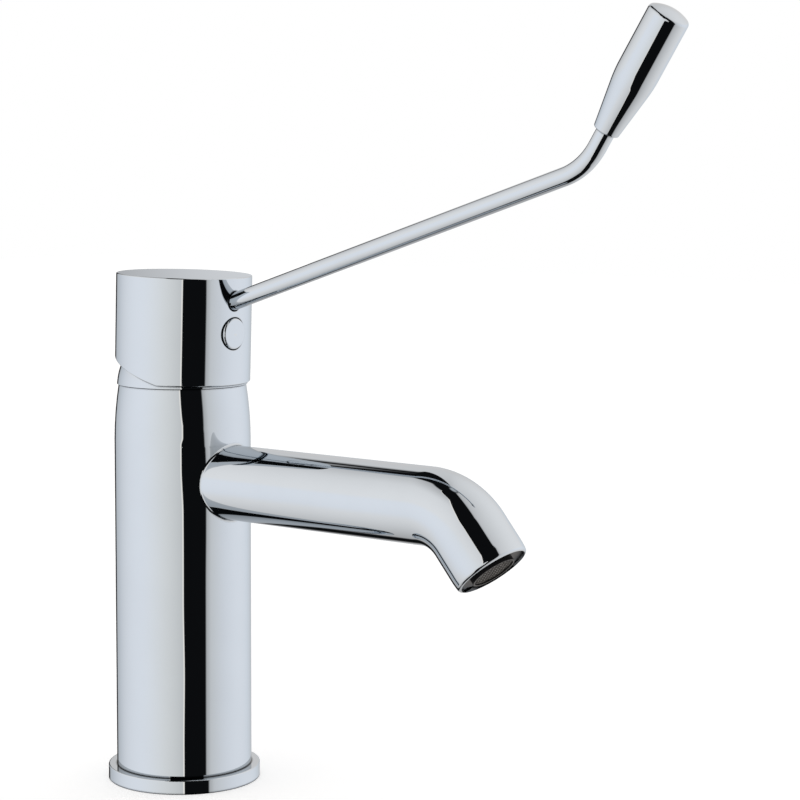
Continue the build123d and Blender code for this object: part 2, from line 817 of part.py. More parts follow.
def make_lever_grip():
    """Turned grip that swells from its neck to a plain cylinder with a domed end."""
    neck = grip_neck_diameter / 2
    full = grip_diameter / 2
    top = grip_length + grip_crown
    side = FilletPolyline(
        (0, 0, 0), (neck, 0, 0), (full, 0, grip_taper_length), (full, 0, grip_length),
        radius=[grip_neck_edge, grip_taper_blend],
    )
    dome = TangentArc((0, 0, top), (full, 0, grip_length), tangent=(1, 0, 0))
    grip = revolve(make_face([side, dome, Line((0, 0, top), (0, 0, 0))]), Axis.Z)
    rim = grip.edges().sort_by_distance((0, full, grip_length))[0]
    grip = fillet(rim, grip_end_edge)
    grip -= post(0, 0, 0, grip_hole_depth, rod_diameter + 2 * thread_gap)
    plane = Plane(
        origin=rod_corner + grip_direction * grip_start, x_dir=(1, 0, 0), z_dir=grip_direction
    )
    return tilted(plane.location * grip, closed_tilt)


# Aerator, each piece modelled with the outlet face at height 0 and the water running to +Z


def make_aerator_body():
    """Threaded aerator shell, with key slots round its face."""
    outer = aerator_diameter / 2
    mouth = aerator_mouth_diameter / 2
    bore = aerator_bore_diameter / 2
    face = -aerator_recess
    back = face - aerator_length
    ledge = face - aerator_face_thickness
    bezel = mouth + aerator_bezel_wall
    shell = turned([
        (mouth, ledge), (mouth, aerator_bezel_proud), (bezel, aerator_bezel_proud), (bezel, face),
        (outer, face), (outer, back), (bore, back), (bore, ledge),
    ])
    slot = block(
        (outer - key_slot_bite, 2 * outer), (-key_slot_width / 2, key_slot_width / 2),
        (face - key_slot_depth, face),
    )
    for cut in around(key_slot_count, slot):
        shell -= cut
    return outlet_plane.location * shell


def honeycomb_places():
    """Centres of the hexagonal holes, in rings about the middle."""
    pitch = grille_hole_across + grille_bar
    places = []
    for across in range(-grille_rings, grille_rings + 1):
        for up in range(-grille_rings, grille_rings + 1):
            if abs(across + up) <= grille_rings:
                places.append((pitch * (across + up / 2), pitch * up * math.sqrt(3) / 2))
    return places


def make_aerator_grille():
    """Honeycomb straightener in the mouth of the aerator."""
    front = aerator_bezel_proud - grille_recess
    grille = post(0, 0, front - grille_thickness, front, aerator_mouth_diameter - 2 * seat_gap)
    cell = RegularPolygon(grille_hole_across / math.sqrt(3), 6, rotation=30)
    cells = Sketch() + [Pos(x, y) * cell for x, y in honeycomb_places()]
    grille -= Pos(0, 0, front - grille_thickness) * extrude(cells, grille_thickness)
    return outlet_plane.location * grille


def make_aerator_diffuser():
    """Plate with a ring of jet holes behind the grille."""
    front = -aerator_recess - aerator_face_thickness
    diffuser = post(0, 0, front - diffuser_thickness, front, aerator_bore_diameter - 2 * seat_gap)
    hole = post(diffuser_hole_circle / 2, 0, front - diffuser_thickness, front, diffuser_hole_diameter)
    for cut in around(diffuser_hole_count, hole):
        diffuser -= cut
    return outlet_plane.location * diffuser


def make_flow_regulator():
    """Flow regulator cup: a hub and a wall with a channel for its ring."""
    front = -aerator_recess - aerator_face_thickness - diffuser_thickness
    back = front - regulator_thickness
    floor = front - (regulator_thickness - regulator_ring_thickness)
    inner = (regulator_ring_diameter + regulator_ring_thickness) / 2 + seat_gap
    hub = regulator_hub_diameter / 2
    cup = turned([
        (0, front), (regulator_diameter / 2, front), (regulator_diameter / 2, back), (inner, back),
        (inner, floor), (hub, floor), (hub, back), (0, back),
    ])
    return outlet_plane.location * cup


def make_regulator_ring():
    """Rubber ring that narrows the regulator's channel as the pressure rises."""
    front = -aerator_recess - aerator_face_thickness - diffuser_thickness
    height = front - regulator_thickness + regulator_ring_thickness / 2
    ring = Pos(0, 0, height) * Torus(regulator_ring_diameter / 2, regulator_ring_thickness / 2)
    return outlet_plane.location * ring


def make_aerator_strainer():
    """Crowned strainer on the inlet side, with radial slots."""
    front = -aerator_recess - aerator_face_thickness - diffuser_thickness - regulator_thickness
    rim = aerator_bore_diameter / 2 - seat_gap
    back = front - strainer_thickness
    outside = post(0, 0, 0, strainer_thickness + strainer_crown, 2 * rim)
    outside = crowned(outside, rim, strainer_thickness, strainer_crown)
    inside = crowned(post(0, 0, 0, strainer_crown, 2 * rim), rim, 0, strainer_crown)
    strainer = Pos(0, 0, front) * Rot(X=180) * (outside - inside)
    slot = block(
        (strainer_slot_inner, strainer_slot_outer), (-strainer_slot_width / 2, strainer_slot_width / 2),
        (back - 2 * strainer_crown, front),
    )
    for cut in around(strainer_slot_count, slot):
        strainer -= cut
    return outlet_plane.location * strainer


def make_aerator_seal():
    """Flat washer between the aerator and the shoulder in the spout."""
    front = -aerator_recess - aerator_length
    outer = aerator_diameter / 2
    washer = post(0, 0, front - aerator_seal_thickness, front, aerator_diameter)
    washer -= post(0, 0, front - aerator_seal_thickness, front, 2 * (outer - aerator_seal_width))
    return outlet_plane.location * washer


makers = {
    "body_casting": make_body_casting,
    "base_ring": make_base_ring,
    "base_gasket": make_base_gasket,
    "cartridge_base": make_cartridge_base,
    "port_seals": make_port_seals,
    "fixed_disc": make_fixed_disc,
    "moving_disc": make_moving_disc,
    "drive_plate": make_drive_plate,
    "cartridge_housing": make_cartridge_housing,
    "stem_guide": make_stem_guide,
    "guide_o_ring": make_guide_o_ring,
    "stem_pin": make_stem_pin,
    "stem": make_stem,
    "cartridge_nut": make_cartridge_nut,
    "dome_cover": make_dome_cover,
    "handle_cap": make_handle_cap,
    "handle_set_screw": make_handle_set_screw,
    "index_button": make_index_button,
    "lever_rod": make_lever_rod,
    "lever_grip": make_lever_grip,
    "aerator_body": make_aerator_body,
    "aerator_grille": make_aerator_grille,
    "aerator_diffuser": make_aerator_diffuser,
    "flow_regulator": make_flow_regulator,
    "regulator_ring": make_regulator_ring,
    "aerator_strainer": make_aerator_strainer,
    "aerator_seal": make_aerator_seal,
}

for node, maker in makers.items():
    solids = maker()
    piece = Compound(children=solids) if isinstance(solids, list) else solids
    export_step(piece, f"parts/{node}.step")
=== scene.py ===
import math

import bmesh
import bpy
from mathutils import Matrix, Vector


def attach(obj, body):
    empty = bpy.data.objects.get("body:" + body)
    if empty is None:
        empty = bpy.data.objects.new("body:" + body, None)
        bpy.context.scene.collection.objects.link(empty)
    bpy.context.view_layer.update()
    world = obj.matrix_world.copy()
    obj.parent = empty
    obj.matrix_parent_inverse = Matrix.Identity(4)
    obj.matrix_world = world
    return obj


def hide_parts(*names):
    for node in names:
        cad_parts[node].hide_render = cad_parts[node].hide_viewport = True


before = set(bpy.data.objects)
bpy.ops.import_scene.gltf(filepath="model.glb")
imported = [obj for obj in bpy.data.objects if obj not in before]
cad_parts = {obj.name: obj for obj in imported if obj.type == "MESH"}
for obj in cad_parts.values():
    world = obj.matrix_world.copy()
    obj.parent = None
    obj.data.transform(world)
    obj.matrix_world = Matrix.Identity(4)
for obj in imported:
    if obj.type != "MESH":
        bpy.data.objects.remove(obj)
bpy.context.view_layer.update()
scene = bpy.context.scene
mm = 0.001
print("frame loaded:", len(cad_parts), "nodes")


# camera, solved from the edges in the photograph
photoCamera = {
    "azimuth": -47.209,  # degrees round the tap, 0 looks along +Y
    "distance": 0.807389,  # metres, level, from the tap's axis
    "height": 0.221921,
    "yaw": 5.456,  # turned right of the axis
    "pitch": 6.126,  # tipped down
    "roll": 0.278,
    "focalPixels": 2288.476,
    "imageWidth": 800,
    "sensor": 36.0,
    "nearest": 0.01,
    "farthest": 50.0,
}


def placeCamera(settings):
    azimuth, yaw, pitch, roll = (math.radians(settings[key]) for key in ("azimuth", "yaw", "pitch", "roll"))
    ahead = Vector((-math.sin(azimuth), math.cos(azimuth), 0))
    side = Vector((math.cos(azimuth), math.sin(azimuth), 0))
    up = Vector((0, 0, 1))
    ahead, side = (
        math.cos(yaw) * ahead + math.sin(yaw) * side,
        math.cos(yaw) * side - math.sin(yaw) * ahead,
    )
    ahead, up = (
        math.cos(pitch) * ahead - math.sin(pitch) * up,
        math.sin(pitch) * ahead + math.cos(pitch) * up,
    )
    side, up = (
        math.cos(roll) * side + math.sin(roll) * up,
        math.cos(roll) * up - math.sin(roll) * side,
    )
    data = bpy.data.cameras.new("photoCamera")
    data.sensor_width = settings["sensor"]
    data.lens = settings["focalPixels"] / settings["imageWidth"] * settings["sensor"]
    data.clip_start, data.clip_end = settings["nearest"], settings["farthest"]
    camera = bpy.data.objects.new("photoCamera", data)
    turn = Matrix((side, up, -ahead)).transposed().to_4x4()
    reach = settings["distance"]
    eye = Vector((math.sin(azimuth) * reach, -math.cos(azimuth) * reach, settings["height"]))
    camera.matrix_world = Matrix.Translation(eye) @ turn
    scene.collection.objects.link(camera)
    scene.camera = camera


placeCamera(photoCamera)
scene.view_settings.view_transform = "Standard"
print("camera placed")


# shader maths: sockets that can be added, subtracted, multiplied and divided
class Socket:
    def __init__(self, tree, socket):
        self.tree, self.socket = tree, socket

    def math(self, operation, *others):
        return makeNode(self.tree, "ShaderNodeMath", {"operation": operation}, [self, *others])

    def __add__(self, other):
        return self.math("ADD", other)

    def __sub__(self, other):
        return self.math("SUBTRACT", other)

    def __mul__(self, other):
        return self.math("MULTIPLY", other)

    def __truediv__(self, other):
        return self.math("DIVIDE", other)

    def __rsub__(self, other):
        return makeNode(self.tree, "ShaderNodeMath", {"operation": "SUBTRACT"}, [other, self])

    __radd__ = __add__
    __rmul__ = __mul__

    def over(self, level):  # what stands above a level, otherwise 0
        return (self - level).math("MAXIMUM", 0.0)

    def ramp(self, low, high):  # smooth step from 0 at low to 1 at high
        settings = {"interpolation_type": "SMOOTHSTEP"}
        return makeNode(self.tree, "ShaderNodeMapRange", settings, [self, low, high, 0.0, 1.0])

    def follow(self, curve):  # a first value that changes by smooth steps and by even slopes
        value = curve["first"]
        for change, low, high in curve.get("steps", []):
            value = value + change * self.ramp(low, high)
        for slope, low, high in curve.get("slopes", []):
            value = value + slope * (self.over(low) - self.over(high))
        return value


# any node: its type, its settings, and what goes into its sockets, in order or by name
def makeNode(tree, kind, settings, values, output=0):
    node = tree.nodes.new(kind)
    for name, value in settings.items():
        setattr(node, name, value)
    pairs = values.items() if isinstance(values, dict) else enumerate(values)
    for key, value in pairs:
        if isinstance(value, Socket):
            tree.links.new(value.socket, node.inputs[key])
        else:
            node.inputs[key].default_value = value
    return Socket(tree, node.outputs[output])


def mixColours(tree, factor, first, second):  # by place: 0 is the factor, 6 and 7 the colours, 2 the result
    ends = [end if isinstance(end, Socket) else (*end, 1) for end in (first, second)]
    return makeNode(tree, "ShaderNodeMix", {"data_type": "RGBA"}, {0: factor, 6: ends[0], 7: ends[1]}, 2)


def scaleColour(tree, colour, factor):
    values = {"Vector": colour, "Scale": factor}
    return makeNode(tree, "ShaderNodeVectorMath", {"operation": "SCALE"}, values)


# studio: two bright panels round the tap, with black between them. Turn is in degrees round the tap from
# the camera, plus to the right, and rise in degrees above level. A curve has its first value, then steps
# (change, from, to) and slopes (change per degree, from, to)
studio = {
    "backdrop": (1.0, 1.0, 1.0),
    "black": (0.006, 0.0062, 0.0068),
    "zenith": (0.55, 0.56, 0.57),
    "zenithStart": (85, 88),
    "ambient": 0.62,
    "topSoft": 1.5,
    "bottom": (-69.5, -66.5),
    "fadeCentre": 3.0,  # the panels are brightest at this rise
    "fadeReach": 65.0,
    "fade": {"first": 0.33, "steps": [(-0.17, 6, 16)]},
}
# colour of both panels, by how far a place is turned away from the camera
panelTones = {
    "front": (1.205, 1.165, 1.112),
    "side": (1.175, 1.165, 1.185),
    "back": (1.135, 1.165, 1.205),
    "off": (1.217, 1.165, 1.125),  # well above and below level
    "frontToSide": (20, 80),
    "sideToBack": (115, 150),
    "levelToHigh": (6, 16),
    "lowToLevel": (-32, -16),
}
leftPanel = {
    "inner": {  # turn of the inner edge, by rise
        "first": -24.5,
        "steps": [
            (-4.8, -44, -37), (29.0, -21.5, -18.5), (1.3, -14.8, -12.8), (-1.3, -13, -11), (0.5, -12, -9.5),
            (-2.8, -9, -7.8), (2.8, -4.8, -3.6), (-18.8, 11.5, 13), (-9, 25, 35), (-24, 59.5, 70),
        ],
        "slopes": [(-0.5, 0, 12), (-0.27, 34, 90)],
    },
    "innerSoft": 0.5,
    "outer": (-161, -153),
    "top": {"first": 48, "steps": [(22, -152, -105)]},  # rise of the top, by turn
    "rimLight": (1.30, 1.185, 1.06),
    "rimWidth": 2.0,
    "rimSoft": 0.4,
    "centre": -75.0,
    "reach": 75.0,
    "dimming": 0.28,
    "level": {"first": 1.0, "steps": [(-0.3, 45, 72)]},
}
rightPanel = {
    "inner": {
        "first": 66.8,
        "steps": [
            (5.5, -42, -18), (0.8, -10.8, -9.2), (-0.8, -6.8, -5.2), (-1.9, -6.5, -1), (-2.4, 3, 14),
            (-6.2, 14, 46), (-12, 46.5, 54.5),
        ],
        "slopes": [(-0.9, -90, -51), (-0.35, 55, 90)],
    },
    "innerSoft": 1.5,
    "outer": {"first": 182.5, "steps": [(11, 8, 30)]},
    "outerSoft": 4.6,
    "top": {"first": 85, "steps": [(-40, 172, 188)]},
    "centre": 122.0,
    "nearReach": 70.0,
    "nearDimming": {"first": 0.215, "steps": [(-0.1, 12, 40)]},
    "farReach": 40.0,
    "farDimming": 0.28,
    "farLimit": 0.32,
    "farLevel": {"first": 1.0, "steps": [(-0.55, 0, 18)]},
    "edgeReach": 10.0,
    "edgeDimming": 0.2,
}


def lookDirections(tree):
    azimuth = math.radians(photoCamera["azimuth"])
    sine, cosine = math.sin(azimuth), math.cos(azimuth)
    axes = [(sine, -cosine, 0), (cosine, sine, 0), (0, 0, 1)]
    place = makeNode(tree, "ShaderNodeTexCoord", {}, [], "Generated")
    ahead, across, up = (
        makeNode(tree, "ShaderNodeVectorMath", {"operation": "DOT_PRODUCT"}, [place, axis], "Value")
        for axis in axes
    )
    rise = up.math("ARCSINE") * math.degrees(1)
    turn = across.math("ARCTAN2", ahead) * math.degrees(1)  # -180 to 180
    lap = 180 + (0 - across).math("ARCTAN2", 0 - ahead) * math.degrees(1)  # the same turn, 0 to 360
    return rise, turn, lap


def toneOf(tree, settings, rise, turn):
    away = turn.math("ABSOLUTE")
    tone = mixColours(tree, away.ramp(*settings["frontToSide"]), settings["front"], settings["side"])
    tone = mixColours(tree, away.ramp(*settings["sideToBack"]), tone, settings["back"])
    offLevel = rise.ramp(*settings["levelToHigh"]) + (1 - rise.ramp(*settings["lowToLevel"]))
    return mixColours(tree, offLevel, tone, settings["off"])


def betweenEnds(rise, top):  # 1 from a panel's bottom to its top
    return (top - rise).ramp(-studio["topSoft"], studio["topSoft"]) * rise.ramp(*studio["bottom"])


def lightLeft(settings, rise, turn):
    soft, rimSoft, width = settings["innerSoft"], settings["rimSoft"], settings["rimWidth"]
    depth = rise.follow(settings["inner"]) - turn
    shown = depth.ramp(-soft, soft) * turn.ramp(*settings["outer"])
    shown = shown * betweenEnds(rise, turn.follow(settings["top"]))
    rim = shown * (1 - depth.ramp(width - rimSoft, width + rimSoft))
    away = (turn - settings["centre"]) / settings["reach"]
    level = (1 - settings["dimming"] * away * away) * rise.follow(settings["level"])
    return shown, rim, level


# the right panel runs on round the back
def lightRight(settings, rise, lap):
    soft, outerSoft = settings["innerSoft"], settings["outerSoft"]
    depth = lap - rise.follow(settings["inner"])
    shown = depth.ramp(-soft, soft) * (rise.follow(settings["outer"]) - lap).ramp(-outerSoft, outerSoft)
    shown = shown * betweenEnds(rise, lap.follow(settings["top"]))
    near = (settings["centre"] - lap).over(0) / settings["nearReach"]
    far = lap.over(settings["centre"]) / settings["farReach"]
    far = (settings["farDimming"] * far * far * far).math("MINIMUM", settings["farLimit"])
    far = far * rise.follow(settings["farLevel"])
    edge = settings["edgeDimming"] * (1 - depth.ramp(0, settings["edgeReach"]))
    level = (1 - rise.follow(settings["nearDimming"]) * near * near - far) * (1 - edge)
    return shown, level


def makeWorld(settings):
    world = bpy.data.worlds.new("studio")
    scene.world = world
    world.use_nodes = True
    tree = world.node_tree
    tree.nodes.clear()
    rise, turn, lap = lookDirections(tree)
    height = (rise - settings["fadeCentre"]) / settings["fadeReach"]
    fade = 1 - rise.follow(settings["fade"]) * height * height
    tone = toneOf(tree, panelTones, rise, turn)
    shown, rim, level = lightLeft(leftPanel, rise, turn)
    colour = mixColours(tree, shown, settings["black"], scaleColour(tree, tone, level * fade))
    colour = mixColours(tree, rim, colour, leftPanel["rimLight"])
    shown, level = lightRight(rightPanel, rise, lap)
    colour = mixColours(tree, shown, colour, scaleColour(tree, tone, level * fade))
    colour = mixColours(tree, rise.ramp(*settings["zenithStart"]), colour, settings["zenith"])
    seen = makeNode(tree, "ShaderNodeLightPath", {}, [], "Is Camera Ray")
    soft = makeNode(tree, "ShaderNodeLightPath", {}, [], "Is Diffuse Ray")
    colour = mixColours(tree, seen, colour, settings["backdrop"])
    colour = mixColours(tree, soft, colour, (settings["ambient"],) * 3)
    light = makeNode(tree, "ShaderNodeBackground", {}, {"Color": colour, "Strength": 1.0})
    output = tree.nodes.new("ShaderNodeOutputWorld")
    tree.links.new(light.socket, output.inputs["Surface"])


makeWorld(studio)


def newMaterial(name, **values):
    material = bpy.data.materials.new(name)
    material.use_nodes = True
    tree = material.node_tree
    skin = tree.nodes["Principled BSDF"]
    for key, value in values.items():
        value = (*value, 1) if isinstance(value, tuple) else value
        skin.inputs[key.replace("_", " ")].default_value = value
    return material, tree, skin


floorLook = {
    "half": 3.0,  # metres
    "colour": (0.93, 0.93, 0.93),
    "roughness": 0.9,
    "lift": 0.42,  # glow that only the camera sees
}


def makeFloor(settings):
    shape = bmesh.new()
    bmesh.ops.create_grid(shape, x_segments=1, y_segments=1, size=settings["half"])
    mesh = bpy.data.meshes.new("floor")
    shape.to_mesh(mesh)
    shape.free()
    floor = bpy.data.objects.new("floor", mesh)
    scene.collection.objects.link(floor)
    material, tree, skin = newMaterial(
        "paleFloor", Base_Color=settings["colour"], Roughness=settings["roughness"], Specular_IOR_Level=0.0,
        Emission_Strength=settings["lift"],
    )
    seen = makeNode(tree, "ShaderNodeLightPath", {}, [], "Is Camera Ray")
    glow = mixColours(tree, seen, (0, 0, 0), (1, 1, 1))
    tree.links.new(glow.socket, skin.inputs["Emission Color"])
    mesh.materials.append(material)
    floor.visible_glossy = False  # the foot's reflection shows the studio below the table's edge


makeFloor(floorLook)
print("studio ready")


# finishes
chromeLook = {
    "tint": (0.56, 0.61, 0.66),
    "grazing": 0.78,  # tint of the edges that turn away
    "roughness": 0.015,
    "haze": 0.015,  # more roughness in hazy patches
    "hazeTint": 0.985,
    "hazeScale": 60.0,
    "hazeDetail": 4.0,
    "hazeSpan": (0.35, 0.75),
    "shadeReach": 0.001,  # metres; painted shade: chrome in narrow gaps between pieces is darkened by ambient occlusion
    "shadeSpan": (0.5, 0.93),
    "shadeSamples": 8,
    "paintedShadeColour": (0.02, 0.021, 0.023),
}
grainLook = {
    "scale": 900.0,
    "patchScale": 75.0,
    "detail": 3.0,
    "darkening": 0.06,
    "roughness": 0.08,
    "height": 0.02,  # millimetres
    "strength": 0.2,
}


def noise(tree, scale, detail):
    place = makeNode(tree, "ShaderNodeTexCoord", {}, [], "Object")
    values = {"Vector": place, "Scale": scale, "Detail": detail}
    return makeNode(tree, "ShaderNodeTexNoise", {}, values, "Fac")


def darker(colour, share):
    return tuple(part * share for part in colour)


def makeChrome(settings):
    edgeTint = (settings["grazing"],) * 3
    material, tree, skin = newMaterial("polishedChrome", Metallic=1.0, Specular_Tint=edgeTint)
    haze = noise(tree, settings["hazeScale"], settings["hazeDetail"]).ramp(*settings["hazeSpan"])
    # painted shade: an ambient occlusion node darkens the chrome's colour in narrow gaps and creases
    samples, reach = {"samples": settings["shadeSamples"]}, {"Distance": settings["shadeReach"]}
    unshadedShare = makeNode(tree, "ShaderNodeAmbientOcclusion", samples, reach, "AO").ramp(*settings["shadeSpan"])
    colour = mixColours(tree, haze, settings["tint"], darker(settings["tint"], settings["hazeTint"]))
    colour = mixColours(tree, unshadedShare, settings["paintedShadeColour"], colour)
    tree.links.new(colour.socket, skin.inputs["Base Color"])
    rough = settings["roughness"] + settings["haze"] * haze
    tree.links.new(rough.socket, skin.inputs["Roughness"])
    return material


# moulded, cast or machined finish with a fine grain
def makePlain(name, colour, roughness, metallic=0.0, gloss=0.5):
    settings = grainLook
    material, tree, skin = newMaterial(name, Metallic=metallic, Specular_IOR_Level=gloss)
    grain = noise(tree, settings["scale"], settings["detail"])
    patches = noise(tree, settings["patchScale"], settings["detail"])
    patched = mixColours(tree, patches, colour, darker(colour, 1 - settings["darkening"]))
    tree.links.new(patched.socket, skin.inputs["Base Color"])
    tree.links.new((roughness + settings["roughness"] * grain).socket, skin.inputs["Roughness"])
    relief = {"Strength": settings["strength"], "Distance": settings["height"] * mm, "Height": grain}
    tree.links.new(makeNode(tree, "ShaderNodeBump", {}, relief).socket, skin.inputs["Normal"])
    return material


finishes = {
    "chromed_metal": makeChrome(chromeLook),
    "bare_brass": makePlain("bareBrass", colour=(0.72, 0.50, 0.22), roughness=0.28, metallic=1.0),
    "stainless_steel": makePlain("stainlessSteel", colour=(0.55, 0.54, 0.52), roughness=0.3, metallic=1.0),
    "white_ceramic": makePlain("whiteCeramic", colour=(0.86, 0.85, 0.82), roughness=0.25),
    "cartridge_plastic": makePlain("cartridgePlastic", colour=(0.62, 0.63, 0.60), roughness=0.45),
    "dark_plastic": makePlain("darkPlastic", colour=(0.012, 0.012, 0.013), roughness=0.3, gloss=0.12),
    "white_plastic": makePlain("whitePlastic", colour=(0.78, 0.78, 0.76), roughness=0.42),
    "black_rubber": makePlain("blackRubber", colour=(0.018, 0.018, 0.018), roughness=0.7),
}
ownFinishes = {
    "aerator_grille": makePlain("darkMesh", colour=(0.10, 0.094, 0.086), roughness=0.4, gloss=0.3),
}

# the frame's materials carry the names of the CAD's finishes
for name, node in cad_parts.items():
    for place in node.material_slots:
        place.material = ownFinishes.get(name, finishes[place.material.name.split(".")[0]])
print("finishes on", len(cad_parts), "nodes")


# mesh helpers: shapes are drawn in millimetres and become metres when they are finished
meshLimits = {"merge": 1e-4, "near": 1e-3, "sharpAngle": 35.0}


def ringOf(shape, radius, segments):
    made = bmesh.ops.create_circle(shape, cap_ends=False, radius=radius, segments=segments)
    return list({edge for vert in made["verts"] for edge in vert.link_edges})


def vertsOf(edges):
    return list({vert for edge in edges for vert in edge.verts})


def onlyEdges(geometry):
    return [part for part in geometry if isinstance(part, bmesh.types.BMEdge)]


def onlyVerts(geometry):
    return [part for part in geometry if isinstance(part, bmesh.types.BMVert)]


# pulls a ring on by a move, scaled about a centre, and gives back the new ring
def pull(shape, edges, move, size=1.0, about=None):
    made = bmesh.ops.extrude_edge_only(shape, edges=edges)["geom"]
    verts = onlyVerts(made)
    fresh = set(verts)  # the sides of the new faces have an old corner, the new ring hasn't
    edges = [edge for edge in onlyEdges(made) if fresh.issuperset(edge.verts)]
    if about is not None:
        bmesh.ops.scale(shape, vec=(size,) * 3, space=Matrix.Translation(-about), verts=verts)
    bmesh.ops.translate(shape, vec=move, verts=verts)
    return edges


# carries corners or a ring round the X axis through a centre and gives back the end
def sweepRound(shape, geometry, centre, angle, steps):
    return bmesh.ops.spin(
        shape, geom=geometry, cent=centre, axis=(1, 0, 0), angle=angle, steps=steps, use_merge=False,
        use_duplicate=False,
    )["geom_last"]


def turnRound(shape, segments):  # full turn of everything about the Z axis, poles closed
    bmesh.ops.spin(
        shape, geom=shape.verts[:] + shape.edges[:], cent=(0, 0, 0), axis=(0, 0, 1), angle=math.tau,
        steps=segments, use_merge=True, use_duplicate=False,
    )
    bmesh.ops.remove_doubles(shape, verts=shape.verts[:], dist=meshLimits["merge"])
    bmesh.ops.recalc_face_normals(shape, faces=shape.faces[:])


def roundRing(shape, height, radius, offset, segments):
    near = meshLimits["near"]
    edges = [
        edge for edge in shape.edges
        if all(
            abs(vert.co.z - height) < near and abs(vert.co.xy.length - radius) < near for vert in edge.verts
        )
    ]
    bmesh.ops.bevel(
        shape, geom=edges, offset=offset, offset_type="OFFSET", segments=segments, profile=0.5,
        affect="EDGES", material=-1, clamp_overlap=True,
    )


def finishPiece(shape, name, material, body):
    bmesh.ops.scale(shape, vec=(mm,) * 3, verts=shape.verts[:])
    mesh = bpy.data.meshes.new(name)
    for face in shape.faces:
        face.smooth = True
    shape.to_mesh(mesh)
    shape.free()
    mesh.set_sharp_from_angle(angle=math.radians(meshLimits["sharpAngle"]))
    mesh.materials.append(material)
    piece = bpy.data.objects.new(name, mesh)
    scene.collection.objects.link(piece)
    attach(piece, body)
    return piece


# bent rod and its grip, drawn closed as in the CAD. Lengths are in millimetres and angles in degrees
leverShape = {
    "pivotHeight": 140.0,
    "closedTilt": 1.7,
    "rodDiameter": 6.0,
    "riseAtAxis": 23.4,  # from the pivot up to the rod's line
    "angle": 19.8,  # of the rod above level
    "bendReach": 165.0,  # forwards from the axis to the corner of the bend
    "bendRadius": 22.0,
    "innerReach": 12.5,  # forwards from the axis to the rod's inner end
    "gripAngle": 59.6,  # of the grip above level
    "gripStart": 13.4,  # from the corner to the grip
    "rodInGrip": 14.7,
    "around": 64,
    "bendSteps": 28,
    "bendLead": 1.0,  # a ring this far before and after the bend keeps the straight runs straight
}
gripShape = {
    "neckDiameter": 8.3,
    "diameter": 13.4,
    "taper": 18.2,  # length of the swelling part
    "length": 40.5,  # without the domed end
    "crown": 1.9,
    "hole": 6.1,
    "holeDepth": 15.0,
    "neckEdge": 0.5,
    "endEdge": 1.5,
    "blend": 40.0,  # radius between the swelling part and the cylinder
    "around": 96,
    "neckSteps": 5,
    "blendSteps": 10,
    "endSteps": 14,
}


def leanForward(shape, settings):
    pivot = Vector((0, 0, settings["pivotHeight"]))
    turn = Matrix.Rotation(math.radians(settings["closedTilt"]), 3, "X")
    bmesh.ops.rotate(shape, cent=pivot, matrix=turn, verts=shape.verts[:])


def makeLeverRod(settings):
    rise, steep = math.radians(settings["angle"]), math.radians(settings["gripAngle"])
    run = Vector((0, -math.cos(rise), math.sin(rise)))
    end = Vector((0, -math.cos(steep), math.sin(steep)))
    origin = Vector((0, 0, settings["pivotHeight"] + settings["riseAtAxis"]))
    corner = origin + run * (settings["bendReach"] / math.cos(rise))
    start = origin + run * (settings["innerReach"] / math.cos(rise))
    cut = settings["bendRadius"] * math.tan((steep - rise) / 2)
    lead = settings["bendLead"]
    shape = bmesh.new()
    edges = ringOf(shape, settings["rodDiameter"] / 2, settings["around"])
    first = vertsOf(edges)
    bmesh.ops.rotate(shape, matrix=Matrix.Rotation(math.pi / 2 - rise, 3, "X"), verts=first)
    bmesh.ops.translate(shape, vec=start, verts=first)
    bmesh.ops.contextual_create(shape, geom=edges)
    for length in ((corner - start).length - cut - lead, lead):
        edges = pull(shape, edges, run * length)
    up = Vector((0, math.sin(rise), math.cos(rise)))
    centre = corner - run * cut + up * settings["bendRadius"]
    ring = vertsOf(edges) + edges
    edges = onlyEdges(sweepRound(shape, ring, centre, rise - steep, settings["bendSteps"]))
    for length in (lead, settings["gripStart"] + settings["rodInGrip"] - cut - lead):
        edges = pull(shape, edges, end * length)
    bmesh.ops.contextual_create(shape, geom=edges)
    bmesh.ops.recalc_face_normals(shape, faces=shape.faces[:])
    leanForward(shape, settings)
    rod = finishPiece(shape, "leverRod", finishes["chromed_metal"], "lever")
    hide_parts("lever_rod")
    return corner, end


